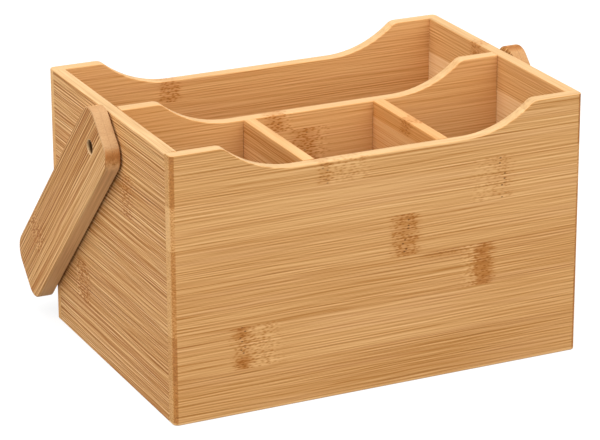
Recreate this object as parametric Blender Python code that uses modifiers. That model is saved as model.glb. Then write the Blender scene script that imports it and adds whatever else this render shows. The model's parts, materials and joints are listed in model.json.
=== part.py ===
"""Bamboo cutlery caddy with a swing handle.

Four walls and a floor make an open box. A middle divider splits it along its length, and two cross
dividers split the front half into three. The front wall, the back wall and the middle divider have a
scooped top edge. Two flat arms and a round grip make the handle, which swings over the box on one
recessed screw at each end.

Metres, +Z up. The origin is the centre of the underside. The front faces -Y, and the handle rests
against the back wall.
"""

import math

import bmesh
import bpy
from mathutils import Matrix, Vector

# The box
BOX_WIDTH = 0.243
BOX_DEPTH = 0.172
BOX_HEIGHT = 0.150
BOARD = 0.007
FLOOR_BOARD = 0.005
FLOOR_REBATE = 0.0035
CORNER_RADIUS = 0.003

# The scooped top edge: a flat shoulder, a brow curving down and a long sweep into the low rim
SCOOP_DEPTH = 0.016
SHOULDER_LENGTH = 0.0255
BROW_RADIUS = 0.012
SWEEP_RADIUS = 0.062
BROW_STEPS = 4
SWEEP_STEPS = 10

# The compartments, with the dividers' tongues in housings that stop short of the rim
REAR_BAY_DEPTH = 0.0755
MIDDLE_BAY_WIDTH = 0.072
HOUSING_DEPTH = 0.002
HOUSING_STOP = 0.006

# The handle, whose arms lie outside the end walls
ARM_WIDTH = 0.039
ARM_THICKNESS = 0.009
ARM_CORNER_RADIUS = 0.011
ARM_CORNER_STEPS = 7
ARM_END_MARGIN = 0.018
ARM_CLEARANCE = 0.0010
HANDLE_REACH = 0.137
GRIP_DIAMETER = 0.020
SOCKET_DEPTH = 0.0045
PIVOT_DROP = 0.0195

# The pivot screws and their washers
SCREW_DIAMETER = 0.004
SCREW_LENGTH = 0.025
SCREW_TIP_LENGTH = 0.004
SCREW_TIP_RADIUS = 0.0004
HEAD_DIAMETER = 0.0072
HEAD_HEIGHT = 0.0022
HEAD_EDGE_HEIGHT = 0.0008
HEAD_FLAT_DIAMETER = 0.003
HEAD_STEPS = 4
CROSS_WIDTH = 0.0009
CROSS_DEPTH = 0.0009
CROSS_LENGTH = 0.0042
RECESS_DIAMETER = 0.008
RECESS_DEPTH = 0.0062
WASHER_DIAMETER = 0.011
WASHER_THICKNESS = 0.0005

# Clearances and small roundings
GLUE_GAP = 0.0003
RUNNING_GAP = 0.0003
HOLE_CLEARANCE = 0.0003
REST_GAP = 0.0003
RIM_RADIUS = 0.0007
RIM_STEPS = 2
CORNER_STEPS = 5
GRIP_CHAMFER = 0.0006
ROUND_SIDES = 32
GRIP_SIDES = 48
CUTTER_OVERRUN = 0.002
WELD_DISTANCE = 0.00001
FLAT_ANGLE = math.radians(0.5)
SMOOTH_ANGLE = math.radians(35)
SQUARE_ON = 0.9

# Colours as 8-bit sRGB values
PALE_BAMBOO = (214, 171, 118)
PLAIN_BAMBOO = (206, 160, 106)
INNER_BAMBOO = (207, 154, 99)
HANDLE_BAMBOO = (199, 149, 97)
ZINC = (176, 176, 172)

# Places that follow from the sizes above
INNER_WIDTH = BOX_WIDTH - 2 * BOARD
INNER_DEPTH = BOX_DEPTH - 2 * BOARD
FRONT_INNER_Y = -BOX_DEPTH / 2 + BOARD
DIVIDER_Y = BOX_DEPTH / 2 - BOARD - REAR_BAY_DEPTH - BOARD / 2
CROSS_DIVIDER_X = MIDDLE_BAY_WIDTH / 2 + BOARD / 2
DIVIDER_BOTTOM = FLOOR_BOARD + GLUE_GAP
LOW_RIM = BOX_HEIGHT - SCOOP_DEPTH
HOUSING_TOP = LOW_RIM - HOUSING_STOP
TONGUE_TOP = HOUSING_TOP - GLUE_GAP
PIVOT_Z = BOX_HEIGHT - PIVOT_DROP
ARM_INNER_X = BOX_WIDTH / 2 + ARM_CLEARANCE
GRIP_RADIUS = GRIP_DIAMETER / 2
REST_OFFSET = BOX_DEPTH / 2 - DIVIDER_Y + REST_GAP + GRIP_RADIUS
REST_ANGLE = math.asin(REST_OFFSET / HANDLE_REACH)

# Ways to stand a board that is drawn lying down: its X then runs along it, its Y up, its Z out of its face
FACING_FRONT = (math.radians(90), 0, 0)
FACING_BACK = (math.radians(90), 0, math.radians(180))
FACING_LEFT = (math.radians(90), 0, math.radians(-90))
FACING_RIGHT = (math.radians(90), 0, math.radians(90))


def clear_scene():
    for obj in list(bpy.data.objects):
        bpy.data.objects.remove(obj)


def new_collection(name):
    collection = bpy.data.collections.new(name)
    bpy.context.scene.collection.children.link(collection)
    return collection


def linear(colour):
    """The linear values of an 8-bit sRGB colour."""
    shares = [value / 255 for value in colour]
    return [s / 12.92 if s <= 0.04045 else ((s + 0.055) / 1.055) ** 2.4 for s in shares]


def material(name, colour, roughness, metallic=0.0):
    finish = bpy.data.materials.new(name)
    finish.use_nodes = True
    shader = finish.node_tree.nodes["Principled BSDF"]
    shader.inputs["Base Color"].default_value = (*linear(colour), 1)
    shader.inputs["Roughness"].default_value = roughness
    shader.inputs["Metallic"].default_value = metallic
    finish.diffuse_color = (*linear(colour), 1)
    return finish


def bamboo(name, colour):
    return material(name + "_bamboo", colour, roughness=0.5)


def steel(name):
    return material(name + "_steel", ZINC, roughness=0.35, metallic=1.0)


def place(mesh, name, finish, location=(0, 0, 0), rotation=(0, 0, 0), parent=None):
    """A named part of the caddy, shaded smooth except at its real edges."""
    mesh.name = name
    mesh.materials.clear()
    mesh.materials.append(finish)
    mesh.shade_smooth()
    mesh.set_sharp_from_angle(angle=SMOOTH_ANGLE)
    part = bpy.data.objects.new(name, mesh)
    part.location = location
    part.rotation_euler = rotation
    part.parent = parent
    caddy.objects.link(part)
    return part


def mesh_of(shape, name):
    bmesh.ops.recalc_face_normals(shape, faces=shape.faces)
    mesh = bpy.data.meshes.new(name)
    shape.to_mesh(mesh)
    shape.free()
    return mesh


def box_shape(low, high):
    """A box between two corners."""
    low, high = Vector(low), Vector(high)
    shape = bmesh.new()
    bmesh.ops.create_cube(shape, size=1)
    bmesh.ops.scale(shape, vec=high - low, verts=shape.verts)
    bmesh.ops.translate(shape, vec=(low + high) / 2, verts=shape.verts)
    return shape


def rod_shape(radius, start, end, sides=ROUND_SIDES):
    """A cylinder along Z from start to end."""
    shape = bmesh.new()
    middle = Matrix.Translation((0, 0, (start + end) / 2))
    bmesh.ops.create_cone(
        shape, cap_ends=True, segments=sides, radius1=radius, radius2=radius, depth=end - start, matrix=middle
    )
    return shape


def board_shape(outline, thickness):
    """A board sawn to an outline: a filled 2D curve given its thickness, then made a mesh and welded."""
    curve = bpy.data.curves.new("outline", "CURVE")
    curve.dimensions = "2D"
    curve.fill_mode = "BOTH"
    curve.extrude = thickness / 2
    spline = curve.splines.new("POLY")
    spline.points.add(len(outline) - 1)
    for point, (x, y) in zip(spline.points, outline):
        point.co = (x, y, 0, 1)
    spline.use_cyclic_u = True
    drawing = bpy.data.objects.new("outline", curve)
    bpy.context.scene.collection.objects.link(drawing)
    graph = bpy.context.evaluated_depsgraph_get()
    mesh = bpy.data.meshes.new_from_object(drawing.evaluated_get(graph))
    shape = bmesh.new()
    shape.from_mesh(mesh)
    bmesh.ops.remove_doubles(shape, verts=shape.verts, dist=WELD_DISTANCE)
    bmesh.ops.dissolve_limit(shape, angle_limit=FLAT_ANGLE, verts=shape.verts, edges=shape.edges)
    bpy.data.objects.remove(drawing)
    bpy.data.curves.remove(curve)
    bpy.data.meshes.remove(mesh)
    return shape


def round_edges(shape, chosen, radius, steps):
    """Rounds the edges that the test picks out."""
    shape.normal_update()
    edges = [edge for edge in shape.edges if len(edge.link_faces) == 2 and chosen(edge)]
    bmesh.ops.bevel(
        shape, geom=edges, offset=radius, segments=steps, profile=0.5, affect="EDGES", clamp_overlap=True
    )


def between(edge, first, second):
    """Whether one face beside the edge passes the first test and the other passes the second."""
    a, b = (face.normal for face in edge.link_faces)
    return (first(a) and second(b)) or (first(b) and second(a))


def out_of_face(normal):
    return abs(normal.z) > SQUARE_ON


def out_of_front(normal):
    return normal.z > SQUARE_ON


def out_of_rim(normal):
    return abs(normal.z) < 1 - SQUARE_ON


def upward(normal):
    return out_of_rim(normal) and normal.y > 1 - SQUARE_ON


def downward(normal):
    return normal.y < -SQUARE_ON


def endways(normal):
    return abs(normal.x) > SQUARE_ON


def upright(normal):
    return abs(normal.y) < 1 - SQUARE_ON


def outside(normal):
    return upright(normal) and normal.z > -SQUARE_ON


def top_rim(edge):
    """Whether the edge runs along the top of a board, above the tongues that its neighbours hold."""
    return between(edge, upward, out_of_face) and min(v.co.y for v in edge.verts) > HOUSING_TOP


def scoop_drop(shoulder_x):
    """Points of the scooped edge from the right shoulder in to its mirror: two tangent arcs a side."""
    turn = math.acos(1 - SCOOP_DEPTH / (BROW_RADIUS + SWEEP_RADIUS))
    foot_x = shoulder_x - (BROW_RADIUS + SWEEP_RADIUS) * math.sin(turn)
    side = []
    for step in range(BROW_STEPS + 1):
        angle = turn * step / BROW_STEPS
        side.append((shoulder_x - BROW_RADIUS * math.sin(angle), -BROW_RADIUS * (1 - math.cos(angle))))
    for step in range(1, SWEEP_STEPS + 1):
        angle = turn * (1 - step / SWEEP_STEPS)
        height = SWEEP_RADIUS * (1 - math.cos(angle)) - SCOOP_DEPTH
        side.append((foot_x + SWEEP_RADIUS * math.sin(angle), height))
    return side + [(-x, y) for x, y in reversed(side)]


def scoop_points():
    return [(x, BOX_HEIGHT + y) for x, y in scoop_drop(BOX_WIDTH / 2 - SHOULDER_LENGTH)]


def tongued_outline(half, bottom, rim):
    """A divider's outline round its rim points: below the housings' top, each end runs on as a tongue."""
    tongue = half + HOUSING_DEPTH
    left = [(-half, TONGUE_TOP), (-tongue, TONGUE_TOP), (-tongue, bottom)]
    right = [(tongue, bottom), (tongue, TONGUE_TOP), (half, TONGUE_TOP)]
    return [*right, *rim, *left]


def rounded_rectangle(left, right, bottom, top, radius, steps):
    """The outline of a rectangle with round corners, anticlockwise."""
    corners = [(right, top, 0), (left, top, 90), (left, bottom, 180), (right, bottom, 270)]
    points = []
    for x, y, start in corners:
        centre_x = x - math.copysign(radius, x - (left + right) / 2)
        centre_y = y - math.copysign(radius, y - (bottom + top) / 2)
        for step in range(steps + 1):
            angle = math.radians(start + 90 * step / steps)
            points.append((centre_x + radius * math.cos(angle), centre_y + radius * math.sin(angle)))
    return points


def cut(part, shape, name, location=(0, 0, 0), rotation=(0, 0, 0), parent=None):
    """Cuts a shape out of a part with a hidden cutter, which follows the part's own parent."""
    cutter = bpy.data.objects.new(name, mesh_of(shape, name))
    cutter.location = location
    cutter.rotation_euler = rotation
    cutter.parent = parent
    cutter.hide_render = True
    cutter.display_type = "WIRE"
    cutters.objects.link(cutter)
    recut(part, cutter)
    return cutter


def recut(part, cutter):
    """Cuts another part with a cutter that is already there."""
    trim = part.modifiers.new(cutter.name, "BOOLEAN")
    trim.operation = "DIFFERENCE"
    trim.solver = "EXACT"
    trim.object = cutter


def long_wall(name, rotation, y):
    """The front or back wall: full width, scooped, with its end grain showing at the round corners."""
    half = BOX_WIDTH / 2
    outline = [(-half, 0), (half, 0), (half, BOX_HEIGHT), *scoop_points(), (-half, BOX_HEIGHT)]
    shape = board_shape(outline, BOARD)
    round_edges(shape, lambda edge: between(edge, out_of_front, endways), CORNER_RADIUS, CORNER_STEPS)
    round_edges(shape, lambda edge: between(edge, upward, upright), RIM_RADIUS, RIM_STEPS)
    round_edges(shape, lambda edge: between(edge, downward, outside), RIM_RADIUS, RIM_STEPS)
    return place(mesh_of(shape, name), name, bamboo(name, PALE_BAMBOO), (0, y, 0), rotation)


def end_wall(name, rotation, x):
    """A plain wall glued between the two long ones, housed for the middle divider."""
    half = INNER_DEPTH / 2 - GLUE_GAP
    shape = box_shape((-half, 0, -BOARD / 2), (half, BOX_HEIGHT, BOARD / 2))
    round_edges(shape, top_rim, RIM_RADIUS, RIM_STEPS)
    round_edges(shape, lambda edge: between(edge, downward, out_of_front), RIM_RADIUS, RIM_STEPS)
    wall = place(mesh_of(shape, name), name, bamboo(name, PLAIN_BAMBOO), (x, 0, 0), rotation)
    side = math.copysign(1, x)
    inner_x = side * INNER_WIDTH / 2
    reach_in = inner_x - side * CUTTER_OVERRUN
    reach_out = inner_x + side * (HOUSING_DEPTH + GLUE_GAP)
    half_slot = BOARD / 2 + GLUE_GAP
    low = (min(reach_in, reach_out), DIVIDER_Y - half_slot, -CUTTER_OVERRUN)
    high = (max(reach_in, reach_out), DIVIDER_Y + half_slot, HOUSING_TOP)
    cut(wall, box_shape(low, high), name + "_housing_cutter")
    return wall


def make_floor(walls):
    """The floor, let into a rebate round the foot of the walls and flush with their underside."""
    half_x = INNER_WIDTH / 2 + FLOOR_REBATE
    half_y = INNER_DEPTH / 2 + FLOOR_REBATE
    shape = box_shape((-half_x, -half_y, -CUTTER_OVERRUN), (half_x, half_y, FLOOR_BOARD + GLUE_GAP))
    cutter = cut(walls[0], shape, "floor_rebate_cutter")
    for wall in walls[1:]:
        recut(wall, cutter)
    low = (GLUE_GAP - half_x, GLUE_GAP - half_y, 0)
    high = (half_x - GLUE_GAP, half_y - GLUE_GAP, FLOOR_BOARD)
    name = "floor_panel"
    return place(mesh_of(box_shape(low, high), name), name, bamboo(name, INNER_BAMBOO))


def make_middle_divider():
    """The long divider, scooped like the long walls and tongued into the end walls."""
    name = "middle_divider"
    half = INNER_WIDTH / 2 - GLUE_GAP
    rim = [(half, BOX_HEIGHT), *scoop_points(), (-half, BOX_HEIGHT)]
    shape = board_shape(tongued_outline(half, DIVIDER_BOTTOM, rim), BOARD)
    round_edges(shape, top_rim, RIM_RADIUS, RIM_STEPS)
    return place(mesh_of(shape, name), name, bamboo(name, INNER_BAMBOO), (0, DIVIDER_Y, 0), FACING_FRONT)


def make_cross_divider(name, x, front_wall, middle_divider):
    """A short divider between the front wall and the middle one, tongued into both."""
    back_y = DIVIDER_Y - BOARD / 2
    half_slot = BOARD / 2 + GLUE_GAP
    depth = HOUSING_DEPTH + GLUE_GAP
    for part, near, far in (
        (front_wall, FRONT_INNER_Y - depth, FRONT_INNER_Y + CUTTER_OVERRUN),
        (middle_divider, back_y - CUTTER_OVERRUN, back_y + depth),
    ):
        shape = box_shape((x - half_slot, near, -CUTTER_OVERRUN), (x + half_slot, far, HOUSING_TOP))
        cut(part, shape, name + "_housing_cutter")
    half = (back_y - FRONT_INNER_Y) / 2 - GLUE_GAP
    rim = [(half, LOW_RIM), (-half, LOW_RIM)]
    shape = board_shape(tongued_outline(half, DIVIDER_BOTTOM, rim), BOARD)
    round_edges(shape, top_rim, RIM_RADIUS, RIM_STEPS)
    centre = (x, (back_y + FRONT_INNER_Y) / 2, 0)
    return place(mesh_of(shape, name), name, bamboo(name, INNER_BAMBOO), centre, FACING_RIGHT)


def make_arm(name, side, rotation, pivot):
    """One flat arm, hanging from its pivot: recessed outside for the screw, socketed inside for the grip."""
    half = ARM_WIDTH / 2
    bottom, top = -HANDLE_REACH - ARM_END_MARGIN, ARM_END_MARGIN
    outline = rounded_rectangle(-half, half, bottom, top, ARM_CORNER_RADIUS, ARM_CORNER_STEPS)
    shape = board_shape(outline, ARM_THICKNESS)
    round_edges(shape, lambda edge: between(edge, out_of_face, out_of_rim), RIM_RADIUS, RIM_STEPS)
    centre = (side * (ARM_INNER_X + ARM_THICKNESS / 2), 0, 0)
    arm = place(mesh_of(shape, name), name, bamboo(name, HANDLE_BAMBOO), centre, rotation, pivot)
    outer, inner = ARM_THICKNESS / 2, -ARM_THICKNESS / 2
    recess = rod_shape(RECESS_DIAMETER / 2, outer - RECESS_DEPTH, outer + CUTTER_OVERRUN)
    cut(arm, recess, name + "_recess_cutter", centre, rotation, pivot)
    hole = rod_shape(SCREW_DIAMETER / 2 + HOLE_CLEARANCE, inner - CUTTER_OVERRUN, outer)
    cut(arm, hole, name + "_hole_cutter", centre, rotation, pivot)
    socket = rod_shape(GRIP_RADIUS + GLUE_GAP, inner - CUTTER_OVERRUN, inner + SOCKET_DEPTH, GRIP_SIDES)
    at_grip = Vector(centre) + Vector((0, 0, -HANDLE_REACH))
    cut(arm, socket, name + "_socket_cutter", at_grip, rotation, pivot)
    return arm


def make_grip(pivot):
    """The round bar between the arms, glued into their sockets."""
    name = "handle_grip"
    half = ARM_INNER_X + SOCKET_DEPTH - GLUE_GAP
    shape = rod_shape(GRIP_RADIUS, -half, half, GRIP_SIDES)
    round_edges(shape, lambda edge: between(edge, out_of_face, out_of_rim), GRIP_CHAMFER, 1)
    centre, lengthways = (0, 0, -HANDLE_REACH), (0, math.radians(90), 0)
    return place(mesh_of(shape, name), name, bamboo(name, HANDLE_BAMBOO), centre, lengthways, pivot)


def turned_part(name, finish, profile, location, rotation):
    """A part turned about its own Z axis from a profile given as (radius, height) points."""
    shape = bmesh.new()
    points = [shape.verts.new((radius, 0, height)) for radius, height in profile]
    for a, b in zip(points, points[1:]):
        shape.edges.new((a, b))
    mesh = bpy.data.meshes.new(name)
    shape.to_mesh(mesh)
    shape.free()
    part = place(mesh, name, finish, location, rotation)
    turn = part.modifiers.new("turn", "SCREW")
    turn.axis = "Z"
    turn.steps = ROUND_SIDES
    turn.render_steps = ROUND_SIDES
    turn.use_merge_vertices = True
    turn.merge_threshold = WELD_DISTANCE
    turn.use_smooth_shade = True
    return part


def make_screw(name, side, rotation, end_panel, middle_divider):
    """A pivot screw: through the arm and the end wall, into the end of the middle divider."""
    seat_x = ARM_INNER_X + ARM_THICKNESS - RECESS_DEPTH + RUNNING_GAP
    shank, head, flat = SCREW_DIAMETER / 2, HEAD_DIAMETER / 2, HEAD_FLAT_DIAMETER / 2
    crown = [(0, HEAD_HEIGHT)]
    for step in range(HEAD_STEPS + 1):
        angle = math.radians(90 * step / HEAD_STEPS)
        height = HEAD_EDGE_HEIGHT + (HEAD_HEIGHT - HEAD_EDGE_HEIGHT) * math.cos(angle)
        crown.append((flat + (head - flat) * math.sin(angle), height))
    profile = [
        *crown,
        (head, 0),
        (shank, 0),
        (shank, SCREW_TIP_LENGTH - SCREW_LENGTH),
        (SCREW_TIP_RADIUS, -SCREW_LENGTH),
        (0, -SCREW_LENGTH),
    ]
    location = (side * seat_x, DIVIDER_Y, PIVOT_Z)
    screw = turned_part(name, steel(name), profile, location, rotation)
    for length, width in ((CROSS_LENGTH, CROSS_WIDTH), (CROSS_WIDTH, CROSS_LENGTH)):
        low = (-length / 2, -width / 2, HEAD_HEIGHT - CROSS_DEPTH)
        high = (length / 2, width / 2, HEAD_HEIGHT + CUTTER_OVERRUN)
        cut(screw, box_shape(low, high), name + "_cross_cutter", location, rotation)
    bore = rod_shape(shank + HOLE_CLEARANCE, -SCREW_LENGTH - HOLE_CLEARANCE, 0)
    cutter = cut(end_panel, bore, name + "_bore_cutter", location, rotation)
    recut(middle_divider, cutter)
    return screw


def make_washer(name, side, rotation):
    """The washer that keeps an arm clear of its end wall."""
    inner, outer = SCREW_DIAMETER / 2 + HOLE_CLEARANCE, WASHER_DIAMETER / 2
    half = WASHER_THICKNESS / 2
    profile = [(inner, half), (outer, half), (outer, -half), (inner, -half), (inner, half)]
    location = (side * (BOX_WIDTH / 2 + ARM_CLEARANCE / 2), DIVIDER_Y, PIVOT_Z)
    return turned_part(name, steel(name), profile, location, rotation)


clear_scene()
caddy = new_collection("cutlery_caddy")
cutters = new_collection("cutters")

# The box
wall_y = BOX_DEPTH / 2 - BOARD / 2
wall_x = BOX_WIDTH / 2 - BOARD / 2
front_panel = long_wall("front_panel", FACING_FRONT, -wall_y)
back_panel = long_wall("back_panel", FACING_BACK, wall_y)
left_end_panel = end_wall("left_end_panel", FACING_LEFT, -wall_x)
right_end_panel = end_wall("right_end_panel", FACING_RIGHT, wall_x)
make_floor([front_panel, back_panel, left_end_panel, right_end_panel])

# The dividers
middle_divider = make_middle_divider()
make_cross_divider("left_cross_divider", -CROSS_DIVIDER_X, front_panel, middle_divider)
make_cross_divider("right_cross_divider", CROSS_DIVIDER_X, front_panel, middle_divider)

# The handle, hung from an empty on its swing axis and turned back until the grip meets the back wall
handle_pivot = bpy.data.objects.new("handle_pivot", None)
handle_pivot.location = (0, DIVIDER_Y, PIVOT_Z)
handle_pivot.rotation_euler = (REST_ANGLE, 0, 0)
caddy.objects.link(handle_pivot)
make_arm("left_handle_arm", -1, FACING_LEFT, handle_pivot)
make_arm("right_handle_arm", 1, FACING_RIGHT, handle_pivot)
make_grip(handle_pivot)

# The pivots
for side_name, sign, end_panel in (("left", -1, left_end_panel), ("right", 1, right_end_panel)):
    outward = (0, sign * math.radians(90), 0)
    make_screw(side_name + "_pivot_screw", sign, outward, end_panel, middle_divider)
    make_washer(side_name + "_pivot_washer", sign, outward)
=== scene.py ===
"""The looks of the bamboo cutlery caddy, dressed piece by piece in the order that it is put together.

Every board is laid up from bamboo slats side by side. A board is drawn lying down, with its X along
the grain, its Y across the slats and its Z out of its face, and is then stood in its place. Only the
handle's arms are drawn with the grain along their Y.
"""

import json
import math

import bmesh
import bpy
from mathutils import Matrix, Vector


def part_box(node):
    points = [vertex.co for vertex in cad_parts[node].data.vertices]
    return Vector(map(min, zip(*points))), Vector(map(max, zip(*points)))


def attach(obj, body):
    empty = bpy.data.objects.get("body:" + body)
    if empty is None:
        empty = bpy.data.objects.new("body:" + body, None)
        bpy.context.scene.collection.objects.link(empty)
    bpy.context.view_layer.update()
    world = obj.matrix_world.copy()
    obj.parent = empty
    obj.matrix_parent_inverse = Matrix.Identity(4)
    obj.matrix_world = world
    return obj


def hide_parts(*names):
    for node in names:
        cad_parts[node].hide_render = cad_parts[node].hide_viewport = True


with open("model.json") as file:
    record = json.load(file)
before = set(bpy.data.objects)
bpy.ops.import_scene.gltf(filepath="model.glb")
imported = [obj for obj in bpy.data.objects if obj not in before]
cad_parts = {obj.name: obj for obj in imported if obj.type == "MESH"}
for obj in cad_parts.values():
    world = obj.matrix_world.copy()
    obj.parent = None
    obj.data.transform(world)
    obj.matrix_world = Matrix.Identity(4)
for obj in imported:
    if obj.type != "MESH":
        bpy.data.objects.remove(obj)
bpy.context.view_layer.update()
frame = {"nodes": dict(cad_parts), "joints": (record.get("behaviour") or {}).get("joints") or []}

# The front wall
# One full-width bamboo board with a scooped top edge. Its two ends are rounded where they cover the
# end walls, so the end grain shows there as a strip from the top of each front corner to the foot.

MM = 0.001
SEAM = 0.00004
CORNER_RADIUS = 0.003
CORNER_STEPS = 8
RIM_RADIUS = 0.0007
RIM_STEPS = 3
SQUARE_ON = 0.9
SCOOP_DEPTH = 0.016
SHOULDER_LENGTH = 0.0273
BROW_RADIUS = 0.007
BROW_STEPS = 10
SWEEP_RADIUS = 0.062
SWEEP_STEPS = 26
FACING_FRONT = (math.radians(90), 0, 0)

# The slats and the cells of their fibres, along the grain, across it and through the board.
SLAT_WIDTH = 0.024
SLAT_STAGGER = 3.0
SWAY_CELL = (140 * MM, 16 * MM, 16 * MM)
SWAY_REACH = 2 * MM
STRAND_CELL = (28 * MM, 0.42 * MM, 0.7 * MM)
THREAD_CELL = (150 * MM, 0.48 * MM, 0.9 * MM)
STRIPE_SHIFT = 0.9 * MM
LINE_CELL = (220 * MM, 0.55 * MM, 1.0 * MM)
SHEAF_CELL = (240 * MM, 3.6 * MM, 6 * MM)
DRIFT_CELL = (100 * MM, 40 * MM, 40 * MM)
BLUSH_CELL = (90 * MM, 5 * MM, 8 * MM)
RIM_STREAK_CELL = (50 * MM, 2.4 * MM, 2 * MM)
END_PIT_CELL = (2 * MM, 0.8 * MM, 0.8 * MM)
PLY_BLEND = 1 * MM

# The nodes of the bamboo: rows of pores, and flecks with a frayed outline.
ROW_PITCH = 2.2 * MM
ROW_SWAY = 0.6
PORE_RADIUS = 0.45 * MM
PORE_LENGTH = 0.75 * MM
PORE_SCATTER = 4 * MM
FRAY_CELL = (9 * MM, 0.7 * MM, 2 * MM)
FRAY_REACH = 14 * MM
FLECK_CELL = (2.6 * MM, 0.95 * MM, 2 * MM)

# How much each of them moves the shade, which runs from 0 for bark brown to 1 for cream.
PLAIN_SHADE = 0.46
SLAT_TONE = 0.17
GLUE_TONE = 0.08
STRAND_TONE = 0.44
THREAD_TONE = 0.40
LINE_TONE = 0.08
SHEAF_TONE = 0.05
DRIFT_TONE = 0.10
RIM_STREAK_TONE = 0.9
DASH_TONE = 0.12
GLEAM_TONE = 0.07
BOARD_ENDS = {
    "limits": (0.3, 0.6), "fade": 0.3, "tone": 0.16, "spread": 0.30, "pits": 0.16,
    "slant_shade": 0.18, "slant_spread": 0.12, "rim_tone": 0.14,
}

BARK_BROWN = (112, 67, 28)
DEEP_TAN = (175, 120, 61)
TAN = (208, 159, 102)
STRAW = (227, 183, 127)
CREAM = (241, 207, 158)
SHADES = ((0.0, BARK_BROWN), (0.28, DEEP_TAN), (0.5, TAN), (0.74, STRAW), (1.0, CREAM))
BLUSH_TAN = (203, 152, 112)
# An orange tint for the boards seen inside the box: partly their own tone and partly painted bounce light.
INNER_ORANGE_AND_BOUNCE = (206, 138, 66)
RIM_CREAM = (185, 156, 116)
END_ORANGE = (190, 126, 70)
NODE_BROWN = (170, 102, 40)
PORE_BROWN = (96, 54, 24)
SHEEN = 0.12
SATIN = 0.60
RELIEF_DEPTH = 0.12 * MM
RELIEF_STRENGTH = 0.14


def linear(colour):
    """The linear values of an 8-bit sRGB colour."""
    shares = [value / 255 for value in colour]
    return (*[s / 12.92 if s <= 0.04045 else ((s + 0.055) / 1.055) ** 2.4 for s in shares], 1)


class Grain:
    """A value that varies over the wood: a sum written on it adds its maths nodes to the material."""

    def __init__(self, tree, socket=None):
        self.tree = tree
        self.socket = socket

    def node(self, kind, settings=None, values=None, output=0):
        """Adds a node of any kind: its settings first, then the values or links of its sockets."""
        made = self.tree.nodes.new("ShaderNode" + kind)
        for name, setting in (settings or {}).items():
            if name == "stops":
                while len(made.color_ramp.elements) < len(setting):
                    made.color_ramp.elements.new(1)
                for stop, (position, colour) in zip(made.color_ramp.elements, setting):
                    stop.position = position
                    stop.color = linear(colour)
            else:
                setattr(made, name, setting)
        for name, value in (values or {}).items():
            if isinstance(value, Grain):
                self.tree.links.new(value.socket, made.inputs[name])
            else:
                made.inputs[name].default_value = value
        return Grain(self.tree, made.outputs[output])

    def output(self, name):
        """Another output of the node that this value comes from."""
        return Grain(self.tree, self.socket.node.outputs[name])

    def feed(self, socket):
        self.tree.links.new(self.socket, socket)

    def maths(self, operation, *values):
        return self.node("Math", {"operation": operation}, dict(enumerate(values)))

    def __add__(self, other):
        return self.maths("ADD", self, other)

    __radd__ = __add__

    def __sub__(self, other):
        return self.maths("SUBTRACT", self, other)

    def __rsub__(self, other):
        return self.maths("SUBTRACT", other, self)

    def __mul__(self, other):
        return self.maths("MULTIPLY", self, other)

    __rmul__ = __mul__

    def __truediv__(self, other):
        return self.maths("DIVIDE", self, other)

    def __rtruediv__(self, other):
        return self.maths("DIVIDE", other, self)

    def __abs__(self):
        return self.maths("ABSOLUTE", self)

    def floor(self):
        return self.maths("FLOOR", self)

    def at_most(self, other):
        return self.maths("MINIMUM", self, other)

    def same(self, number):
        """1 where this whole number is the given one, and 0 elsewhere."""
        return self.maths("COMPARE", self, number, 0.5)

    def rise(self, low, high):
        """0 below low and 1 above high, with a soft step between them."""
        ends = {"From Min": low, "From Max": high}
        return self.node("MapRange", {"interpolation_type": "SMOOTHSTEP"}, {"Value": self, **ends})

    def fall(self, low, high):
        return 1 - self.rise(low, high)

    def chance(self, seed):
        """Three random values from 0 to 1 that belong to this whole number."""
        drawn = self.node("TexWhiteNoise", {"noise_dimensions": "1D"}, {"W": self + seed}, output="Color")
        drawn = self.node("SeparateXYZ", values={0: drawn})
        return drawn.output("X"), drawn.output("Y"), drawn.output("Z")

    def vector(self, x, y, z):
        return self.node("CombineXYZ", values={0: x, 1: y, 2: z})

    def vector_maths(self, operation, *values, output=0):
        return self.node("VectorMath", {"operation": operation}, dict(enumerate(values)), output)

    def length(self):
        return self.vector_maths("LENGTH", self, output="Value")

    def noise(self, cell, detail=0):
        """Soft noise at this place, drawn out to cells of a size along, across and through the wood."""
        place = self.vector_maths("DIVIDE", self, cell)
        return self.node("TexNoise", values={"Vector": place, "Scale": 1, "Detail": detail})

    def stripes(self, cell, shift, detail=0):
        """Fine noise less the same noise a little way across: thin lines and no broad streaks."""
        shifted = self.vector_maths("ADD", self, (0, shift, 0))
        return self.noise(cell, detail) - shifted.noise(cell, detail)

    def from_middle(self, cell):
        """The distance to the middle of the nearest cell of that size, 0 at the middle."""
        place = self.vector_maths("DIVIDE", self, cell)
        return self.node("TexVoronoi", values={"Vector": place, "Scale": 1}, output="Distance")

    def towards(self, share, colour):
        """This colour turning into an 8-bit sRGB one as the share goes from 0 to 1."""
        return self.node("Mix", {"data_type": "RGBA"}, {0: share, 6: self, 7: linear(colour)}, output=2)


def node_band(x, slat, half, tone, pores=0.0, flecks=0.0, tail=0.0, part=None):
    """A node of the bamboo: where it crosses a slat, how dark it is and how its pores and flecks show.

    Its flecks run on by tail to one side, and part keeps it to a share of the slat's width.
    """
    return {"x": x, "slat": slat, "half": half, "tone": tone, "pores": pores, "flecks": flecks,
            "tail": tail, "part": part}


def drawn_axes(wood, lean):
    """Where a point lies and how its surface faces, in the axes that the board was drawn in."""
    place = wood.node("TexCoord", output="Object")
    facing = wood.node("TexCoord", output="Normal")
    if lean:
        about_z = {"rotation_type": "Z_AXIS"}
        place = wood.node("VectorRotate", about_z, {"Vector": place, "Angle": -lean})
        facing = wood.node("VectorRotate", about_z, {"Vector": facing, "Angle": -lean})
    return wood.node("SeparateXYZ", values={0: place}), wood.node("SeparateXYZ", values={0: facing})


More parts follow.
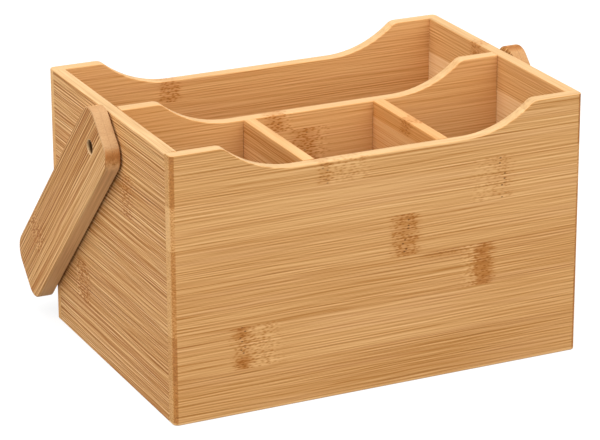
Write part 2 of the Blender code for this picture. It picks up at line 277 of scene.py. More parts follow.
def crossing_nodes(bands, seed, along, across, slat, share, fray):
    """How dark the nodes make each place, and how far their pores and their flecks show there."""
    row_place = across / ROW_PITCH
    row = row_place.floor()
    row_start, row_drop, row_luck = row.chance(seed)
    row_off = (row_place - row - 0.5 + (row_drop - 0.5) * ROW_SWAY) * (ROW_PITCH / PORE_RADIUS)
    tone, pores, flecks = 0, 0, 0
    for band in bands:
        here = slat.same(band["slat"])
        if band["part"]:
            upper, lower = band["part"]
            here = here * share.rise(upper - 0.08, upper + 0.04) * share.fall(lower - 0.04, lower + 0.08)
        off = along - band["x"]
        body = abs((off + fray) / band["half"]).fall(0.35, 1.35) * here
        pore_off = (off + (row_start - 0.5) * PORE_SCATTER) / PORE_LENGTH
        pore = off.vector(pore_off, row_off, 0).length().fall(0.5, 1.2)
        reach = band["half"] + abs(band["tail"]) / 2
        zone = abs((off - band["tail"] / 2 + fray) / reach).fall(0.6, 1.2) * here
        tone = tone + body * band["tone"]
        pores = pores + pore * here * row_luck.rise(0.1, 0.5) * band["pores"]
        flecks = flecks + zone * band["flecks"]
    return tone, pores, flecks


def bamboo(name, seed, slat_top, bands, tone=0.0, lines=1.0, warmth_and_bounce=0.0, rims=0.6,
           pale_slat=0, paler=0.0, pale_side=-1, lengthways="X", lean=0.0, arm=None):
    """Flat-pressed bamboo: slats side by side from slat_top down, each with its own tone and fibres.

    The board's tone, dark lines and orange tint can be set, the tint partly the board's own and partly
    painted bounce light inside the box, how cream its rims are, and one slat that is paler on one side
    only, 1 for the face and -1 for the back, partly its own tone and partly painted light against the
    shade low in the compartments. lean is how far a board was turned about its Z once it was drawn. An
    arm brings the looks of its two plies and its ends, with painted light on its long edges and painted
    shade and painted light in its bore.
    """
    ends = arm or BOARD_ENDS
    finish = bpy.data.materials.new(name)
    finish.use_nodes = True
    shader = finish.node_tree.nodes["Principled BSDF"]
    shader.inputs["Specular IOR Level"].default_value = SHEEN
    wood = Grain(finish.node_tree)
    place, facing = drawn_axes(wood, lean)
    crossways = "Y" if lengthways == "X" else "X"
    along, across, through = place.output(lengthways), place.output(crossways), place.output("Z")
    end_on, edge_on = abs(facing.output(lengthways)), abs(facing.output(crossways))
    rim = edge_on.rise(0.5, 0.9)
    cut_ends = end_on.rise(0.12, 0.35) * edge_on.fall(*ends["limits"])
    slanted = cut_ends * (edge_on.rise(0.14, 0.60) if arm else end_on.fall(0.80, 0.99))

    slat_place = (slat_top + SLAT_WIDTH - across) / SLAT_WIDTH
    slat = slat_place.floor()
    share = slat_place - slat
    glue_line = (0.5 - abs(share - 0.5)).fall(0.002, 0.010)
    own_tone, own_start, own_depth = slat.chance(seed)

    start = along + own_start * SLAT_STAGGER
    stem = wood.vector(start, across + own_depth, through)
    sway = (stem.noise(SWAY_CELL, detail=1) - 0.5) * SWAY_REACH
    fibre_place = wood.vector(start, across + sway, through + own_depth)
    strands = fibre_place.stripes(STRAND_CELL, STRIPE_SHIFT, detail=1)
    threads = fibre_place.stripes(THREAD_CELL, STRIPE_SHIFT)
    sheaves = fibre_place.noise(SHEAF_CELL, detail=1) - 0.5
    drift = stem.noise(DRIFT_CELL) - 0.5
    line_start = 0.62 - lines * 0.03
    dark_lines = fibre_place.noise(LINE_CELL).rise(line_start, line_start + 0.10) * lines

    sanded = 1 - rim * 0.6
    fibres = (strands * STRAND_TONE + threads * THREAD_TONE) * (0.65 + lines * 0.35)
    fibres = (fibres - dark_lines * LINE_TONE) * sanded * (1 - cut_ends * ends["fade"])
    shade = fibres + sheaves * SHEAF_TONE + drift * DRIFT_TONE + (PLAIN_SHADE + tone)
    shade = shade + (own_tone - 0.5) * SLAT_TONE - glue_line * GLUE_TONE
    # Partly the slat's own tone and partly painted light: one slat is paler on one face, lifting the shade
    # low in the compartments.
    if pale_slat:
        pale_ply = (through * pale_side).rise(-PLY_BLEND, PLY_BLEND)
        shade = shade + slat.same(pale_slat) * pale_ply * paler

    pits = wood.vector(along, across, through).from_middle(END_PIT_CELL).fall(0.25, 0.55)
    shade = shade - cut_ends * (pits * ends["pits"] + (own_depth - 0.5) * ends["spread"] - ends["tone"])
    shade = shade - slanted * (own_depth * ends["slant_spread"] + ends["slant_shade"])
    rim_streaks = stem.noise(RIM_STREAK_CELL, detail=1) - 0.5
    shade = shade + rim * (rim_streaks * RIM_STREAK_TONE + ends["rim_tone"])
    if arm:
        ply_line = abs(through).fall(*arm["ply_line"]) * (end_on + edge_on).rise(0.5, 0.9)
        shade = shade - ply_line * arm["ply_tone"]

    fray = (stem.noise(FRAY_CELL, detail=1) - 0.5) * FRAY_REACH
    node_tone, pores, flecks = crossing_nodes(bands, seed, along, across, slat, share, fray)
    scales = stem.from_middle(FLECK_CELL)
    dashes, gleams = scales.fall(0.18, 0.45), scales.rise(0.42, 0.70)
    shade = shade - node_tone * (0.6 + dashes) + flecks * (gleams * GLEAM_TONE - dashes * DASH_TONE)

    colour = wood.node("ValToRGB", {"stops": SHADES}, {0: shade})
    blush = stem.noise(BLUSH_CELL, detail=1).rise(0.45, 0.75) * edge_on.fall(0.3, 0.8)
    colour = colour.towards(blush * 0.15, BLUSH_TAN)
    colour = colour.towards((dark_lines * 0.25).at_most(0.5) * sanded, NODE_BROWN)
    # Partly the board's own tone and partly painted bounce light: boards seen inside the box are tinted
    # orange, as if lit by warm light bounced about in it.
    if warmth_and_bounce:
        colour = colour.towards(warmth_and_bounce, INNER_ORANGE_AND_BOUNCE)
    if arm:
        bore = wood.vector(along, across, 0).length().fall(*arm["bore_edge"])
        mouth = through.rise(*arm["bore_mouth"])
        pale_end = cut_ends * (1 - slanted * own_depth) * (1 - bore)
        colour = colour.towards(pale_end * arm["pale_end"], arm["end_cream"])
        # Painted light: the arm's long edges are turned half way to a pale cream, standing in for light
        # bounced up onto them.
        colour = colour.towards(edge_on.rise(0.85, 0.99) * 0.5, arm["painted_light_cream"])
        # Painted shade and painted light in the bore: its wall turns dark brown deep in, where shade falls,
        # and pale cream near its mouth, where light falls.
        colour = colour.towards(bore * (1 - mouth) * 0.9, arm["recess_shade_brown"])
        colour = colour.towards(bore * mouth * 0.8, arm["painted_light_cream"])
    else:
        colour = colour.towards(rim * rims, RIM_CREAM)
    colour = colour.towards(slanted * own_depth * 0.4, END_ORANGE)
    colour = colour.towards((node_tone * 1.6 + flecks * dashes * 0.3).at_most(0.6), NODE_BROWN)
    colour = colour.towards(pores.at_most(0.8), PORE_BROWN)
    colour.feed(shader.inputs["Base Color"])
    (SATIN - strands * 0.25 + cut_ends * 0.10).feed(shader.inputs["Roughness"])
    relief = strands * 0.5 + threads * 0.4 - dark_lines * 0.3
    knobs = {"Strength": RELIEF_STRENGTH, "Distance": RELIEF_DEPTH, "Height": relief}
    wood.node("Bump", values=knobs).feed(shader.inputs["Normal"])
    return finish


def sawn_board(outline, thickness):
    """A board sawn to an outline of its own XY plane, with its thickness centred on it."""
    shape = bmesh.new()
    corners = [shape.verts.new((x, y, -thickness / 2)) for x, y in outline]
    sheet = shape.faces.new(corners)
    grown = bmesh.ops.extrude_face_region(shape, geom=[sheet], use_keep_orig=True)
    raised = [part for part in grown["geom"] if isinstance(part, bmesh.types.BMVert)]
    bmesh.ops.translate(shape, vec=(0, 0, thickness), verts=raised)
    bmesh.ops.recalc_face_normals(shape, faces=shape.faces)
    return shape


def ease(shape, radius, steps, first, second, within=math.inf):
    """Rounds the edges, no further out than a limit, where faces that pass one test each meet."""
    shape.normal_update()
    edges = []
    for edge in shape.edges:
        a, b = (face.normal for face in edge.link_faces)
        near = all(abs(corner.co.x) < within for corner in edge.verts)
        if near and ((first(a) and second(b)) or (first(b) and second(a))):
            edges.append(edge)
    bmesh.ops.bevel(shape, geom=edges, offset=radius, segments=steps, profile=0.5, affect="EDGES")


def outward(normal):
    return normal.z > SQUARE_ON


def inward(normal):
    return normal.z < -SQUARE_ON


def endways(normal):
    return abs(normal.x) > SQUARE_ON


def upward(normal):
    return abs(normal.z) < 1 - SQUARE_ON and normal.y > 1 - SQUARE_ON


def downward(normal):
    return normal.y < -SQUARE_ON


def outside(normal):
    return abs(normal.y) < 1 - SQUARE_ON and normal.z > -SQUARE_ON


def mesh_of(shape, name):
    mesh = bpy.data.meshes.new(name)
    bmesh.ops.recalc_face_normals(shape, faces=shape.faces)
    shape.to_mesh(mesh)
    shape.free()
    return mesh


def stand(shape, name, finish, location=(0, 0, 0), rotation=(0, 0, 0)):
    """Puts a piece in its place as an object of its own."""
    piece = bpy.data.objects.new(name, mesh_of(shape, name))
    piece.data.materials.append(finish)
    piece.location = location
    piece.rotation_euler = rotation
    bpy.context.scene.collection.objects.link(piece)
    return piece


def scoop_points(half, top):
    """The scooped edge from the right shoulder to the left: a brow and a sweep on each side, all arcs."""
    shoulder = half - SHOULDER_LENGTH
    turn = math.acos(1 - SCOOP_DEPTH / (BROW_RADIUS + SWEEP_RADIUS))
    foot = shoulder - (BROW_RADIUS + SWEEP_RADIUS) * math.sin(turn)
    bottom = top - SCOOP_DEPTH
    side = []
    for step in range(BROW_STEPS + 1):
        angle = turn * step / BROW_STEPS
        side.append((shoulder - BROW_RADIUS * math.sin(angle), top - BROW_RADIUS * (1 - math.cos(angle))))
    for step in range(1, SWEEP_STEPS + 1):
        angle = turn * (1 - step / SWEEP_STEPS)
        side.append((foot + SWEEP_RADIUS * math.sin(angle), bottom + SWEEP_RADIUS * (1 - math.cos(angle))))
    return side + [(-x, y) for x, y in reversed(side)]


front_low, front_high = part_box("front_panel")
back_low, back_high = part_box("back_panel")
box_half, box_top = front_high.x, front_high.z
board = front_high.y - front_low.y
inner_front, inner_back = front_high.y, back_low.y
inner_half = box_half - board
low_rim = box_top - SCOOP_DEPTH


def long_wall(name, finish, rotation, y):
    """The front or back wall, eased all round its rim and foot, with round upright corners."""
    outline = [(-box_half, 0), (box_half, 0), (box_half, box_top), (inner_half, box_top)]
    outline += [*scoop_points(box_half, box_top), (-inner_half, box_top), (-box_half, box_top)]
    shape = sawn_board(outline, board)
    ease(shape, CORNER_RADIUS, CORNER_STEPS, outward, endways)
    ease(shape, RIM_RADIUS, RIM_STEPS, upward, outside)
    ease(shape, RIM_RADIUS, RIM_STEPS, upward, inward, within=inner_half + SEAM)
    ease(shape, RIM_RADIUS, RIM_STEPS, downward, outside)
    return stand(shape, name, finish, (0, y, 0), rotation)


FRONT_SLAT_TOP = 0.1455
FRONT_NODES = [
    node_band(-0.0335, 1, half=0.004, tone=0.10, pores=0.5, flecks=0.9, tail=0.022),
    node_band(0.0725, 2, half=0.007, tone=0.04, pores=1.0, flecks=0.6, tail=-0.012),
    node_band(0.0143, 3, half=0.008, tone=0.18, pores=1.0, flecks=0.9),
    node_band(0.0618, 4, half=0.0055, tone=0.29, pores=0.3, flecks=1.0, tail=-0.008),
    node_band(0.038, 4, half=0.013, tone=0.12, part=(0.0, 0.14)),
    node_band(-0.0815, 5, half=0.0055, tone=0.08, pores=0.8, flecks=1.0, tail=0.017),
    node_band(-0.0825, 5, half=0.0045, tone=0.16, part=(0.0, 0.25)),
    node_band(-0.0812, 5, half=0.004, tone=0.24, part=(0.72, 1.0)),
]
finish = bamboo("front_bamboo", seed=1564, slat_top=FRONT_SLAT_TOP, bands=FRONT_NODES, lines=0.6)
front = long_wall("front_wall", finish, FACING_FRONT, (front_low.y + front_high.y) / 2)

# The back wall
# The same bamboo board as the front wall, turned round so that its rounded ends face backwards. It is
# glued against the end walls' rear ends.

FACING_BACK = (math.radians(90), 0, math.radians(180))
BACK_NODES = [
    node_band(0.0517, 1, half=0.006, tone=0.15, pores=0.3, flecks=1.4),
    node_band(-0.085, 6, half=0.006, tone=0.14, pores=0.8, flecks=0.7),
    node_band(-0.012, 3, half=0.005, tone=0.20, pores=0.8, flecks=0.6, tail=0.015),
    node_band(0.083, 4, half=0.007, tone=0.10, pores=0.9, flecks=0.6),
    node_band(-0.048, 5, half=0.006, tone=0.24, pores=0.6, flecks=0.6),
]
# The back wall's orange tint is partly its own tone and partly painted bounce light.
finish = bamboo("back_bamboo", seed=5377, slat_top=FRONT_SLAT_TOP, bands=BACK_NODES, tone=0.05, warmth_and_bounce=0.2)
back = long_wall("back_wall", finish, FACING_BACK, (back_low.y + back_high.y) / 2)

# The end walls
# Two plain bamboo boards glued between the long ones, each with a stopped housing inside that takes
# the middle divider's tongue.

HOUSING_DEPTH = 0.002
HOUSING_STOP = 0.006
HOUSING_PLAY = 0.0002
CUT_OVERRUN = 0.002
RIGHT_SLAT_TOP = 0.1535
FACING_LEFT = (math.radians(90), 0, math.radians(-90))
FACING_RIGHT = (math.radians(90), 0, math.radians(90))

divider_low, divider_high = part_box("middle_divider")
housing_top = low_rim - HOUSING_STOP


def block(low, high):
    """A plain block between two corners."""
    low, high = Vector(low), Vector(high)
    shape = bmesh.new()
    bmesh.ops.create_cube(shape, size=1)
    bmesh.ops.scale(shape, vec=high - low, verts=shape.verts)
    bmesh.ops.translate(shape, vec=(low + high) / 2, verts=shape.verts)
    return shape


def cut(piece, shape, placed=None):
    """Cuts a shape out of a piece for good. The shape lies in the caddy's frame, or a matrix places it."""
    tool = bpy.data.objects.new("cutting_tool", mesh_of(shape, "cutting_tool"))
    tool.matrix_world = placed or Matrix.Identity(4)
    bpy.context.scene.collection.objects.link(tool)
    trim = piece.modifiers.new("trim", "BOOLEAN")
    trim.operation = "DIFFERENCE"
    trim.solver = "EXACT"
    trim.object = tool
    graph = bpy.context.evaluated_depsgraph_get()
    trimmed = bpy.data.meshes.new_from_object(piece.evaluated_get(graph))
    piece.modifiers.clear()
    piece.data = trimmed
    bpy.data.objects.remove(tool)


def faceways(normal):
    return abs(normal.z) > SQUARE_ON


def end_wall(name, finish, rotation, side):
    """An end wall, eased along its rim and along its foot's outer edge, with the housing cut in it."""
    half = (inner_back - inner_front) / 2 - SEAM
    shape = block((-half, 0, -board / 2), (half, box_top, board / 2))
    ease(shape, RIM_RADIUS, RIM_STEPS, upward, faceways)
    ease(shape, RIM_RADIUS, RIM_STEPS, downward, outward)
    wall = stand(shape, name, finish, (side * (box_half - board / 2), 0, 0), rotation)
    bottom = side * (inner_half + HOUSING_DEPTH)
    mouth = side * (inner_half - CUT_OVERRUN)
    low = (min(bottom, mouth), divider_low.y - HOUSING_PLAY, -CUT_OVERRUN)
    high = (max(bottom, mouth), divider_high.y + HOUSING_PLAY, housing_top)
    cut(wall, block(low, high))
    return wall


LEFT_END_NODES = [
    node_band(0.026, 2, half=0.008, tone=0.16, pores=0.4, flecks=3.2),
    node_band(-0.040, 5, half=0.008, tone=0.17, pores=0.4, flecks=3.2, tail=-0.006),
]
RIGHT_END_NODES = [
    node_band(0.022, 1, half=0.006, tone=0.14, pores=0.4, flecks=1.2),
    node_band(-0.045, 3, half=0.006, tone=0.12, pores=0.6, flecks=0.8),
    node_band(0.058, 5, half=0.005, tone=0.16, pores=0.6, flecks=0.7),
]
finish = bamboo("left_end_bamboo", seed=4532, slat_top=FRONT_SLAT_TOP, bands=LEFT_END_NODES,
                tone=0.095, lines=3.8)
left_end = end_wall("left_end_wall", finish, FACING_LEFT, -1)
# The right end's paler second slat inside is partly its own tone and partly painted light against the shade
# in the compartments; its orange tint is partly painted bounce light.
finish = bamboo("right_end_bamboo", seed=3398, slat_top=RIGHT_SLAT_TOP, bands=RIGHT_END_NODES,
                tone=0.03, lines=0.8, warmth_and_bounce=0.18, pale_slat=2, paler=0.36)
right_end = end_wall("right_end_wall", finish, FACING_RIGHT, 1)

# The floor
# A thinner bamboo board. It is let into a rebate round the foot of the four walls and lies flush with
# their underside.

FLOOR_NODES = [
    node_band(-0.05, 2, half=0.006, tone=0.14, pores=0.6, flecks=0.6),
    node_band(0.03, 4, half=0.006, tone=0.18, pores=0.6, flecks=0.6),
    node_band(0.09, 6, half=0.006, tone=0.12, pores=0.6, flecks=0.6),
]
floor_low, floor_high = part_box("floor_panel")
rebate = block((floor_low.x - SEAM, floor_low.y - SEAM, -CUT_OVERRUN),
               (floor_high.x + SEAM, floor_high.y + SEAM, floor_high.z + SEAM))
for wall in (front, back, left_end, right_end):
    cut(wall, rebate.copy())
rebate.free()
finish = bamboo("floor_bamboo", seed=691, slat_top=floor_high.y, bands=FLOOR_NODES)
floor_board = stand(block(floor_low, floor_high), "floor_board", finish)

# The middle divider
# A long board with the same scoop as the long walls, tongued into the housings of the end walls.
# The bores for the pivot screws run through the end walls into its two ends.

JOINT = 0.0002
HOLE_RADIUS = 0.0023
BORE_SPARE = 0.0003
ROUND_SIDES = 64
MIDDLE_SLAT_TOP = 0.148


def divider_outline(half, foot, rim):
    """A divider's outline round its rim: each end runs on as a tongue below the top of the housings."""
    tongue = half + HOUSING_DEPTH - SEAM
    top = housing_top - SEAM
    return [(tongue, foot), (tongue, top), (half, top), *rim, (-half, top), (-tongue, top), (-tongue, foot)]


def rod(radius, start, end):
    """A round rod along Z."""
    shape = bmesh.new()
    centre = Matrix.Translation((0, 0, (start + end) / 2))
    bmesh.ops.create_cone(shape, cap_ends=True, segments=ROUND_SIDES, radius1=radius, radius2=radius,
                          depth=end - start, matrix=centre)
    return shape


def housed_divider(name, finish, half, rim, location, rotation):
    """A divider with a tongue at each end, eased along both sides of its rim."""
    shape = sawn_board(divider_outline(half, floor_high.z + SEAM, rim), board)
    shape.normal_update()
    crown = [
        edge for edge in shape.edges
        if min(corner.co.y for corner in edge.verts) > housing_top
        and abs(edge.verts[0].co.z - edge.verts[1].co.z) < board / 2
        and any(upward(face.normal) for face in edge.link_faces)
    ]
    bmesh.ops.bevel(shape, geom=crown, offset=RIM_RADIUS, segments=RIM_STEPS, profile=0.5, affect="EDGES")
    return stand(shape, name, finish, location, rotation)


MIDDLE_NODES = [
    node_band(-0.0235, 1, half=0.0065, tone=0.20, pores=0.5, flecks=1.6, tail=0.004),
    node_band(-0.006, 2, half=0.008, tone=0.18, pores=0.5, flecks=1.6, tail=0.006),
    node_band(0.075, 3, half=0.006, tone=0.16, pores=0.7, flecks=0.6),
    node_band(-0.08, 4, half=0.006, tone=0.16, pores=0.7, flecks=0.6),
]
middle_half = inner_half - JOINT
middle_rim = [(middle_half, box_top), *scoop_points(box_half, box_top), (-middle_half, box_top)]
# The middle board's orange tint is partly painted bounce light, and its paler second slat on the face is
# partly painted light against the shade in the compartments.
finish = bamboo("middle_bamboo", seed=1403, slat_top=MIDDLE_SLAT_TOP, bands=MIDDLE_NODES,
                tone=0.03, lines=0.7, warmth_and_bounce=0.28, pale_slat=2, paler=0.10, pale_side=1)
middle = housed_divider("middle_board", finish, middle_half, middle_rim,
                        (0, (divider_low.y + divider_high.y) / 2, 0), FACING_FRONT)
pivot = Vector(frame["joints"][0]["pos_m"])
sideways = Matrix.Translation(pivot) @ Matrix.Rotation(math.radians(90), 4, "Y")
for side_name, wall in (("left", left_end), ("right", right_end)):
    screw_low, screw_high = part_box(side_name + "_pivot_screw")
    for drilled in (wall, middle):
        cut(drilled, rod(HOLE_RADIUS, screw_low.x - BORE_SPARE, screw_high.x + BORE_SPARE), sideways)

# The cross dividers
# Two short boards that split the front half into three, flush with the low rim and tongued into
# the front wall and the middle divider.

LEFT_CROSS_NODES = [node_band(0.020, 3, half=0.006, tone=0.14, pores=0.8, flecks=0.8)]
RIGHT_CROSS_NODES = [node_band(-0.0015, 1, half=0.006, tone=0.20, pores=0.3, flecks=2.2)]
# The crosses' orange tint is partly their own tone and partly painted bounce light, and their paler second
# slat is partly painted light against the shade low in the compartments.
CROSS_LOOKS = {
    "left": {"seed": 1278, "slat_top": 0.146, "bands": LEFT_CROSS_NODES, "warmth_and_bounce": 0.35, "paler": 0.22},
    "right": {"seed": 2745, "slat_top": 0.1495, "bands": RIGHT_CROSS_NODES, "warmth_and_bounce": 0.6, "paler": 0.3},
}
cross_half = (divider_low.y - inner_front) / 2 - JOINT
cross_y = (divider_low.y + inner_front) / 2
cross_rim = [(cross_half, low_rim), (-cross_half, low_rim)]
crosses = []
for side_name, looks in CROSS_LOOKS.items():
    cross_low, cross_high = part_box(side_name + "_cross_divider")
    cross_x = (cross_low.x + cross_high.x) / 2
    finish = bamboo(side_name + "_cross_bamboo", tone=0.08, lines=1.8, rims=0.35, pale_slat=2, **looks)
    crosses.append(housed_divider(side_name + "_cross_board", finish, cross_half, cross_rim,
                                  (cross_x, cross_y, 0), FACING_RIGHT))
    for wall, near, far in ((front, inner_front - HOUSING_DEPTH, inner_front + CUT_OVERRUN),
                            (middle, divider_low.y - CUT_OVERRUN, divider_low.y + HOUSING_DEPTH)):
        slot_low = (cross_low.x - HOUSING_PLAY, near, -CUT_OVERRUN)
        slot_high = (cross_high.x + HOUSING_PLAY, far, housing_top)
        cut(wall, block(slot_low, slot_high))

# The handle's arms
# Two flat bamboo arms with round corners outside the end walls, drilled and counterbored for the
# pivot screws, and bored on the inside for the ends of the grip.

ARM_WIDTH = 0.039
ARM_CORNER_RADIUS = 0.011
ARM_CORNER_STEPS = 14
ARM_END_MARGIN = 0.018
ARM_EASE = 0.0008
ARM_SLAT_TOP = 0.027
HANDLE_REACH = 0.137
RECESS_RADIUS = 0.0042
RECESS_DEPTH = 0.0062
GRIP_RADIUS = 0.010
SOCKET_DEPTH = 0.0045
GRIP_SEAM = 0.0001
REST_GAP = 0.0003
SMOOTH_ANGLE = math.radians(35)
END_CREAM = (174, 144, 110)
# A pale cream painted on as light, on the arms' long edges and on the bore's wall near its mouth.
PAINTED_LIGHT_CREAM = (250, 212, 162)
# A dark brown painted on as shade deep in the arms' bores.
RECESS_SHADE_BROWN = (58, 34, 12)
LEFT_ARM_NODES = [node_band(-0.117, 2, half=0.009, tone=0.10, pores=0.3, flecks=3.2)]
RIGHT_ARM_NODES = [node_band(-0.060, 1, half=0.006, tone=0.14, pores=0.6, flecks=0.8)]
ARM_LOOKS = {
    "left": {"seed": 2922, "bands": LEFT_ARM_NODES, "tone": -0.03, "lines": 2.6},
    "right": {"seed": 3391, "bands": RIGHT_ARM_NODES, "tone": -0.12, "lines": 1.6},
}
PALE_ENDS = {"left": 0.6, "right": 0.4}
TWO_PLIES = {
    "limits": (0.60, 0.99), "fade": 0.8, "tone": -0.02, "spread": 0.08, "pits": 0.06,
    "slant_shade": 0.0, "slant_spread": 0.34, "rim_tone": 0.09,
    "ply_line": (0.08 * MM, 0.28 * MM), "ply_tone": 0.16,
    # bore_edge and bore_mouth place the painted shade deep in the bore and the painted light near its
    # mouth.
    "bore_edge": (RECESS_RADIUS + 0.05 * MM, RECESS_RADIUS + 0.2 * MM), "bore_mouth": (2.6 * MM, 4.4 * MM),
    "end_cream": END_CREAM, "painted_light_cream": PAINTED_LIGHT_CREAM, "recess_shade_brown": RECESS_SHADE_BROWN,
}


def round_corners(left, right, bottom, top, radius, steps):
    """A rectangle with round corners, anticlockwise from the right."""
    points = []
    for x, y, start in ((right, top, 0), (left, top, 90), (left, bottom, 180), (right, bottom, 270)):
        middle_x = x - math.copysign(radius, x - (left + right) / 2)
        middle_y = y - math.copysign(radius, y - (bottom + top) / 2)
        for step in range(steps + 1):
            angle = math.radians(start + 90 * step / steps)
            points.append((middle_x + radius * math.cos(angle), middle_y + radius * math.sin(angle)))
    return points


def edgeways(normal):
    return abs(normal.z) < 1 - SQUARE_ON


def smooth(piece):
    """Shades a piece smooth over its eased edges, while its broad faces stay flat."""
    piece.data.shade_smooth()
    piece.data.set_sharp_from_angle(angle=SMOOTH_ANGLE)
    flat = piece.modifiers.new("flat_faces", "WEIGHTED_NORMAL")
    flat.keep_sharp = True
    return piece


rest_angle = math.asin((back_high.y + REST_GAP + GRIP_RADIUS) / HANDLE_REACH)
for side_name, side, rotation in (("left", -1, FACING_LEFT), ("right", 1, FACING_RIGHT)):
    arm_low, arm_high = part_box(side_name + "_handle_arm")
    outer = (arm_high.x - arm_low.x) / 2
    outline = round_corners(-ARM_WIDTH / 2, ARM_WIDTH / 2, -HANDLE_REACH - ARM_END_MARGIN, ARM_END_MARGIN,
                            ARM_CORNER_RADIUS, ARM_CORNER_STEPS)
    shape = sawn_board(outline, 2 * outer)
    ease(shape, ARM_EASE, RIM_STEPS, faceways, edgeways)
    lean = side * rest_angle
    finish = bamboo(side_name + "_arm_bamboo", slat_top=ARM_SLAT_TOP, lengthways="Y", lean=lean,
                    arm={**TWO_PLIES, "pale_end": PALE_ENDS[side_name]}, **ARM_LOOKS[side_name])
    arm = stand(shape, side_name + "_arm", finish)
    cut(arm, rod(RECESS_RADIUS, outer - RECESS_DEPTH, outer + CUT_OVERRUN))
    cut(arm, rod(HOLE_RADIUS, -outer - CUT_OVERRUN, outer))
    socket = rod(GRIP_RADIUS + GRIP_SEAM, -outer - CUT_OVERRUN, SOCKET_DEPTH - outer)
    cut(arm, socket, Matrix.Translation((0, -HANDLE_REACH, 0)))
    arm.data.transform(Matrix.Rotation(lean, 4, "Z"))
    arm.location = ((arm_low.x + arm_high.x) / 2, pivot.y, pivot.z)
    arm.rotation_euler = rotation
    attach(smooth(arm), "handle")
    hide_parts(side_name + "_handle_arm")

# The grip
# A round bamboo rod, turned along the grain with softly broken ends, which are glued into the sockets
# of the two arms.

GRIP_EASE = 0.0006
GRIP_SIDES = 96
GRIP_SLAT_TOP = 0.012
WELD = 0.01 * MM
GRIP_NODES = [node_band(0.055, 1, half=0.006, tone=0.14, pores=0.6, flecks=0.8)]

grip_low, grip_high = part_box("handle_grip")
grip_half = (grip_high.x - grip_low.x) / 2
turning = bmesh.new()
profile = [(-grip_half, 0), (-grip_half, GRIP_RADIUS - GRIP_EASE), (-grip_half + GRIP_EASE, GRIP_RADIUS)]
profile += [(-x, z) for x, z in reversed(profile)]
corners = [turning.verts.new((x, 0, z)) for x, z in profile]
for a, b in zip(corners, corners[1:]):
    turning.edges.new((a, b))
bmesh.ops.spin(turning, geom=turning.verts[:] + turning.edges[:], cent=(0, 0, 0), axis=(1, 0, 0),
               angle=math.radians(360), steps=GRIP_SIDES)
bmesh.ops.remove_doubles(turning, verts=turning.verts, dist=WELD)
finish = bamboo("grip_bamboo", seed=891, slat_top=GRIP_SLAT_TOP, bands=GRIP_NODES,
                tone=-0.04, lines=1.4, rims=0.0)
grip = stand(turning, "grip", finish, (grip_low + grip_high) / 2)
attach(smooth(grip), "handle")
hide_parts("handle_grip")

# The box glued up
# The walls, the floor and the dividers are glued together and sanded. They ride with the caddy's body,
# each in place of its plain board.

for piece, node, slot_name in (
    (front, "front_panel", "front_bamboo"),
    (back, "back_panel", "inner_bamboo"),
    (left_end, "left_end_panel", "end_bamboo"),
    (right_end, "right_end_panel", "end_bamboo"),
    (floor_board, "floor_panel", "inner_bamboo"),
    (middle, "middle_divider", "inner_bamboo"),
    (crosses[0], "left_cross_divider", "inner_bamboo"),
    (crosses[1], "right_cross_divider", "inner_bamboo"),
):
    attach(smooth(piece), "caddy")
    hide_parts(node)

# The pivot screws and washers
# Pan head steel screws, zinc plated, each through an arm and an end wall into the middle divider,
# with a thin washer between arm and wall.

ZINC = (178, 179, 178)
ZINC_DULL = (140, 142, 144)
ZINC_POLISH = 0.28
MOTTLE_CELL = (1.2 * MM, 1.2 * MM, 1.2 * MM)

for fixing in ("left_pivot_screw", "right_pivot_screw", "left_pivot_washer", "right_pivot_washer"):
    finish = bpy.data.materials.new(fixing + "_zinc")
    finish.use_nodes = True
    shader = finish.node_tree.nodes["Principled BSDF"]
    shader.inputs["Metallic"].default_value = 1
    steel = Grain(finish.node_tree)
    mottle = steel.node("TexCoord", output="Object").noise(MOTTLE_CELL, detail=3)
    tints = ((0.3, ZINC_DULL), (0.7, ZINC))
    steel.node("ValToRGB", {"stops": tints}, {0: mottle}).feed(shader.inputs["Base Color"])
    (ZINC_POLISH + mottle * 0.2).feed(shader.inputs["Roughness"])
    frame["nodes"][fixing].data.materials.clear()
    frame["nodes"][fixing].data.materials.append(finish)

# The table
# A wide matt sheet that the caddy stands on. The camera sees it as white, and it keeps the caddy's
# soft shadow.

TABLE_REACH = 3.0
TABLE_SHARE = 0.18
TABLE_GLOW = 0.84

sheet = bmesh.new()
bmesh.ops.create_grid(sheet, x_segments=1, y_segments=1, size=TABLE_REACH)
table_paint = bpy.data.materials.new("table_white")
table_paint.use_nodes = True
paint_tree = table_paint.node_tree
paint_tree.nodes.remove(paint_tree.nodes["Principled BSDF"])
paint = Grain(paint_tree)


def seen_directly(shader_nodes):
    """1 on rays from the camera and on those that a mirror or glass sends on, 0 on the light's own rays."""
    rays = shader_nodes.node("LightPath", output="Is Camera Ray")
    return (rays + rays.output("Is Glossy Ray") + rays.output("Is Transmission Ray")).at_most(1)


matt = paint.node("BsdfDiffuse", values={"Color": (TABLE_SHARE, TABLE_SHARE, TABLE_SHARE, 1)})
glow = paint.node("Emission", values={"Strength": seen_directly(paint) * TABLE_GLOW})
seen = paint.node("AddShader", values={0: matt, 1: glow})
seen.feed(paint_tree.nodes["Material Output"].inputs["Surface"])
table = stand(sheet, "table_sheet", table_paint)

# The light
# One broad soft light overhead, weaker ones from the front and both sides, and a pale room, which
# the camera sees as white.

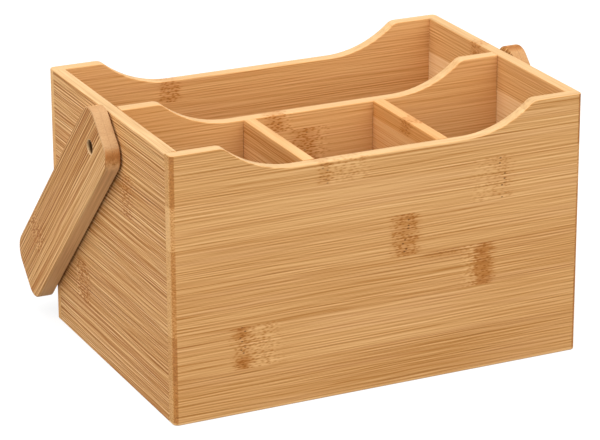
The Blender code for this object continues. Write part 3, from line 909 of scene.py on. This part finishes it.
ROOM_LEVEL = 0.40
LAMPS = {
    "overhead": {"from": (-0.10, -0.15, 1.0), "level": 2.6, "spread": 70},
    "front": {"from": (0.20, -1.0, 0.50), "level": 1.42, "spread": 60},
    "left": {"from": (-1.0, -0.15, 0.45), "level": 1.54, "spread": 60},
    "right": {"from": (1.0, -0.10, 0.80), "level": 0.8, "spread": 60},
}

room = bpy.data.worlds.new("pale_room")
bpy.context.scene.world = room
room.use_nodes = True
air = Grain(room.node_tree)
background = room.node_tree.nodes["Background"]
background.inputs["Color"].default_value = (1, 1, 1, 1)
(ROOM_LEVEL + seen_directly(air) * (1 - ROOM_LEVEL)).feed(background.inputs["Strength"])
for name, lamp in LAMPS.items():
    light = bpy.data.lights.new(name, "SUN")
    light.energy = lamp["level"]
    light.angle = math.radians(lamp["spread"])
    holder = bpy.data.objects.new(name, light)
    holder.rotation_euler = Vector(lamp["from"]).to_track_quat("Z", "Y").to_euler()
    bpy.context.scene.collection.objects.link(holder)
bpy.context.scene.view_settings.view_transform = "Standard"

# The camera
# A plain camera at the photograph's viewing angle, found by fitting the box's visible corners and
# edges.

IMAGE_WIDTH = 600
SENSOR = 36
CAMERA_AZIMUTH = math.radians(25.34)
CAMERA_ELEVATION = math.radians(20.13)
CAMERA_ROLL = math.radians(-0.21)
CAMERA_DISTANCE = 1.6342
CAMERA_TARGET = Vector((-0.0075, 0, 0.0692))
FOCAL_PIXELS = 2929.5

forward = Vector((math.sin(CAMERA_AZIMUTH) * math.cos(CAMERA_ELEVATION),
                  math.cos(CAMERA_AZIMUTH) * math.cos(CAMERA_ELEVATION), -math.sin(CAMERA_ELEVATION)))
lens = bpy.data.cameras.new("camera")
lens.sensor_width = SENSOR
lens.lens = FOCAL_PIXELS * SENSOR / IMAGE_WIDTH
camera = bpy.data.objects.new("camera", lens)
aim = forward.to_track_quat("-Z", "Y").to_matrix() @ Matrix.Rotation(CAMERA_ROLL, 3, "Z")
camera.matrix_world = Matrix.Translation(CAMERA_TARGET - forward * CAMERA_DISTANCE) @ aim.to_4x4()
bpy.context.scene.collection.objects.link(camera)
bpy.context.scene.camera = camera
